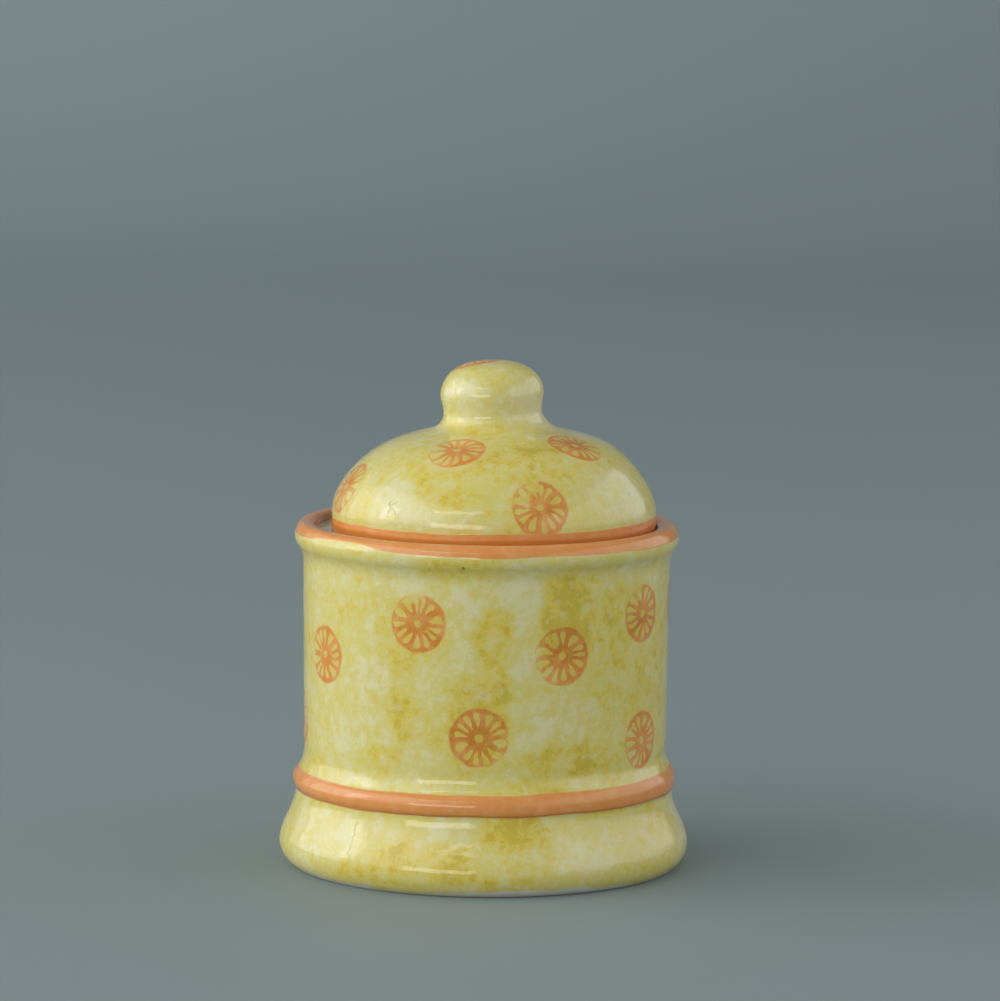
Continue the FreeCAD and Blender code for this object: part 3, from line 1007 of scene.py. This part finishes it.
def pot_bands(g, place, z, radius):
    """The pot's masks: the bands on bead and rim, painted shade on the bead's underside, plain
    inner glaze darkened as painted shade, and bare clay.
    """
    edge = brush_edge(g, place, POT_EDGE_WANDER)
    painted = g.math("ADD", z, edge)
    x = g.split(place)[0]
    low_side = g.math("MULTIPLY_ADD", x, -BEAD_TILT, painted)
    bead_top = (WAIST_Z + 0.1) * MM
    bead = between(g, low_side, (BEAD_Z + 0.05) * MM, bead_top, BEAD_SOFT * MM)
    bead = g.math("MULTIPLY", bead, beyond(g, radius, BODY_RADIUS - 1.0, BODY_RADIUS - 0.8))
    # The rim's band is thinner at the front left, where the glaze has run up over it.
    run_place = tuple(v * MM for v in RIM_THIN_PLACE)
    run = beyond(g, g.vector_math("DISTANCE", place, run_place), 16, 2)
    rim_edge = g.math("MULTIPLY_ADD", run, -RIM_THIN * MM, painted)
    rim_edge = g.math("MULTIPLY_ADD", beyond(g, x, 5, -25), -RIM_THIN_LEFT * MM, rim_edge)
    rim = beyond(g, rim_edge, RIM_BAND_Z - RIM_BAND_SOFT, RIM_BAND_Z + RIM_BAND_SOFT)
    over = beyond(g, g.math("ADD", radius, edge), LEDGE_RADIUS - 0.5, LEDGE_RADIUS - 0.1)
    band = g.math("MAXIMUM", bead, g.math("MULTIPLY", rim, over))
    # The inside gets the inner glaze, which is darkened as painted shade.
    inside = beyond(g, radius, LEDGE_RADIUS + 0.1, LEDGE_RADIUS - 0.3)
    lining_in_shade = g.math("MULTIPLY", inside, beyond(g, z, RECESS + 1, RECESS + 2))
    # The glaze stops raggedly at the foot, highest just to the right of the front.
    highest = g.vector_math("DISTANCE", place, tuple(v * MM for v in BARE_HIGHEST))
    lifted = g.math("MULTIPLY", beyond(g, highest, 30, 6), BARE_RISE * MM)
    ragged = g.math("SUBTRACT", g.noise(place, 90.0, 3.0, 0.7), 0.5)
    ragged = g.math("MULTIPLY", ragged, BARE_WANDER * MM)
    glazed = g.math("SUBTRACT", g.math("SUBTRACT", z, ragged), lifted)
    clay = beyond(g, glazed, BARE_HEIGHT, 0.2)
    # Painted shade: the bead's paint is deeper along its underside, which faces down.
    band_shade = beyond(g, low_side, BEAD_Z + 0.75, BEAD_Z + 0.15)
    return band, band_shade, lining_in_shade, clay


def lid_bands(g, place, z, radius):
    """The lid's masks: the band round its edge, painted shade low on that band, plain inner glaze
    darkened as painted shade, and bare clay.
    """
    edge = brush_edge(g, place, LID_EDGE_WANDER)
    painted = g.math("ADD", z, edge)
    painted = g.math("MULTIPLY_ADD", g.split(place)[0], -LID_BAND_TILT, painted)
    edge_inside = LID_RADIUS - LID_EDGE_WIDTH
    outside = beyond(g, radius, edge_inside, edge_inside + 0.3)
    band_top = LEDGE_Z + LID_BAND_HEIGHT
    band = g.math("MULTIPLY", beyond(g, painted, band_top, band_top - 0.3), outside)
    # Under the lid, the inner glaze, darkened as painted shade.
    under = beyond(g, radius, edge_inside + 0.3, edge_inside)
    lining_in_shade = g.math("MULTIPLY", under, beyond(g, z, LEDGE_Z + 8, LEDGE_Z + 7))
    low = g.math("ADD", z, g.math("MULTIPLY", edge, 0.2))
    clay = beyond(g, low, LEDGE_Z + 0.3, LEDGE_Z)
    # Painted shade: the band is deeper low down, in the gap above the rim.
    band_shade = beyond(g, painted, LEDGE_Z + 2.7, LEDGE_Z + 1.9)
    return band, band_shade, lining_in_shade, clay


# Cracks and pits: kind, azimuth, height, lean and reach, in degrees and millimetres.
POT_FLAWS = [
    ("crack", -40.3, 10.7, 5, 5.2),
    ("pit", -6.5, 74.7, 0, 0.4),
]
LID_FLAWS = [
    ("crack", -38.5, 86.2, 35, 2.3),
    ("crack", -39, 86.2, -40, 2),
]


def flaw_places(flaws, outline, shift):
    """Each flaw's kind, place, the direction across it and its reach, in metres."""
    placed = []
    for kind, azimuth, height, lean, reach in flaws:
        middle, along, up, _ = lying_plane(outline, azimuth, height, shift)
        tilt = math.radians(lean)
        across = math.cos(tilt) * along + math.sin(tilt) * up
        placed.append((kind, tuple(middle * MM), tuple(across), reach * MM))
    return placed


# --- studio ---


FLOOR_GREY = (0.235, 0.285, 0.29)
# The backdrop is painted paler at the left than at the right, as painted light.
BACK_LIT_LEFT = (0.41, 0.495, 0.52)
BACK_SHADED_RIGHT = (0.33, 0.40, 0.42)
GRAIN_GREY = (0.3, 0.33, 0.33)
GRAIN_AMOUNT = 0.1
# The sweep's sizes, in metres.
SWEEP_WIDTH = 6.0
SWEEP_FRONT = -2.2
SWEEP_BACK = 2.4
SWEEP_BEND = 0.9
SWEEP_TOP = 3.2
BEND_STEPS = 16


def sweep_material():
    """Matt grey that gets paler from the floor up into the backdrop, and paler at the left: painted
    light from the lamps there.
    """
    material, g, shader, place = new_material("studio_grey")
    x, y, z = g.split(place)
    back = g.step(g.math("ADD", y, z), 0.3, 2.6)
    grain = g.noise(place, 220.0, 3.0, 0.6)
    shade = g.mix(back, FLOOR_GREY, g.mix(g.step(x, -0.4, 0.4), BACK_LIT_LEFT, BACK_SHADED_RIGHT))
    shade = g.mix(g.math("MULTIPLY", grain, GRAIN_AMOUNT), shade, GRAIN_GREY)
    g.links.new(shade, shader.inputs["Base Color"])
    shader.inputs["Roughness"].default_value = 0.65
    shader.inputs["Specular IOR Level"].default_value = 0.25
    return material


def make_sweep():
    """The floor, which curves up into a backdrop behind the pot."""
    bend_start = SWEEP_BACK - SWEEP_BEND
    outline = [(SWEEP_FRONT, 0.0), (bend_start, 0.0)]
    for i in range(1, BEND_STEPS + 1):
        angle = i / BEND_STEPS * math.pi / 2
        y = bend_start + SWEEP_BEND * math.sin(angle)
        outline.append((y, SWEEP_BEND - SWEEP_BEND * math.cos(angle)))
    outline.append((SWEEP_BACK, SWEEP_TOP))
    vertices = [(x, y, z) for y, z in outline for x in (-SWEEP_WIDTH / 2, SWEEP_WIDTH / 2)]
    faces = [(2 * i, 2 * i + 1, 2 * i + 3, 2 * i + 2) for i in range(len(outline) - 1)]
    mesh = bpy.data.meshes.new("studio_sweep")
    mesh.from_pydata(vertices, [], faces)
    mesh.polygons.foreach_set("use_smooth", [True] * len(mesh.polygons))
    sweep = bpy.data.objects.new("studio_sweep", mesh)
    bpy.context.scene.collection.objects.link(sweep)
    mesh.materials.append(sweep_material())


def softbox(name, azimuth, elevation, distance, size, radiance):
    """A rectangular lamp that faces the pot; radiance is per unit of the lamp's face."""
    lamp = bpy.data.lights.new(name, "AREA")
    lamp.shape = "RECTANGLE"
    lamp.size, lamp.size_y = size
    lamp.energy = radiance * math.pi * size[0] * size[1]
    holder = bpy.data.objects.new(name, lamp)
    turn, dip = math.radians(azimuth), math.radians(elevation)
    level = math.cos(dip)
    away = np.array([math.sin(turn) * level, -math.cos(turn) * level, math.sin(dip)])
    holder.location = AIM + distance * away
    holder.rotation_euler = (math.pi / 2 - dip, 0, turn)
    bpy.context.scene.collection.objects.link(holder)


AIM = np.array([0, 0, 0.06])
# Name, azimuth and elevation in degrees, distance and size in metres, and radiance. Nested lamps
# add up, so that a wall is brightest at its middle.
LAMPS = [
    ("left_softbox", -81, 18, 0.9, (0.22, 0.38), 2),
    ("left_wall", -68, 25, 1.64, (3.2, 1.5), 0.62),
    ("left_wall_middle", -68, 27, 1.62, (2.3, 1.2), 0.62),
    ("left_wall_heart", -68, 29, 1.60, (1.4, 0.8), 0.68),
    ("far_left_wall", -109, 9, 1.1, (1.25, 1), 0.55),
    ("far_left_wall_heart", -106, 9, 1.08, (0.8, 0.8), 0.75),
    ("right_wall", 89, 20, 0.96, (2.3, 0.78), 0.5),
    ("right_wall_heart", 91, 21, 0.94, (1.9, 0.6), 0.44),
    ("front_strip", -25, 7, 1.75, (1.25, 0.34), 3.3),
    ("high_strip", -25, 38, 1.75, (1, 0.10), 2.6),
]
WORLD_LEVEL = 0.42
WORLD_COLOUR = (0.93, 0.97, 1.0, 1)


def light_studio():
    """The lamps, and a faint even light from all around."""
    for lamp in LAMPS:
        softbox(*lamp)
    world = bpy.data.worlds.new("studio_world")
    world.use_nodes = True
    background = world.node_tree.nodes["Background"]
    background.inputs["Color"].default_value = WORLD_COLOUR
    background.inputs["Strength"].default_value = WORLD_LEVEL
    bpy.context.scene.world = world


CAMERA_PLACE = (0.003057, -1.33146, 0.25685)
CAMERA_DIP = 7.379  # degrees below level
CAMERA_ROLL = 0.6144
CAMERA_LENS = 209.44


def place_camera():
    """A long lens from the front, a little above the pot."""
    camera = bpy.data.cameras.new("camera")
    camera.sensor_fit = "HORIZONTAL"
    camera.sensor_width = 36.0
    camera.lens = CAMERA_LENS
    camera.clip_start = 0.05
    holder = bpy.data.objects.new("camera", camera)
    place = Matrix.Translation(CAMERA_PLACE)
    pitch = Matrix.Rotation(math.radians(90 - CAMERA_DIP), 4, "X")
    roll = Matrix.Rotation(math.radians(CAMERA_ROLL), 4, "Z")
    holder.matrix_world = place @ pitch @ roll
    bpy.context.scene.collection.objects.link(holder)
    bpy.context.scene.camera = holder


# --- scene ---

bpy.context.scene.view_settings.view_transform = "Standard"
place_camera()
make_sweep()
light_studio()

slice_group = citrus_slice()

pot = make_pot()
lay_patches(pot, pot_outline(), POT_PATCHES + scattered_patches(5, 72, seed=3), 0.0)
lay_stamps(pot, pot_outline(), POT_STAMPS, 0.0)
pot_flaws = flaw_places(POT_FLAWS, pot_outline(), 0.0)
pot.data.materials.append(glaze("pot_glaze_paint", slice_group, pot_bands, pot_flaws))
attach(pot, "root")
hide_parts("pot")

lid = make_lid()
lid_shape = lid_outside() + np.array([0, LEDGE_Z])
lay_patches(lid, lid_shape, LID_PATCHES_AND_HIGHLIGHTS + scattered_patches(83, 99, seed=6), LID_SHIFT)
lay_stamps(lid, lid_shape, LID_STAMPS + [KNOB_STAMP], LID_SHIFT)
lid_flaws = flaw_places(LID_FLAWS, lid_shape, LID_SHIFT)
lid.data.materials.append(glaze("lid_glaze_paint", slice_group, lid_bands, lid_flaws))
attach(lid, "root")
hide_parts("lid")
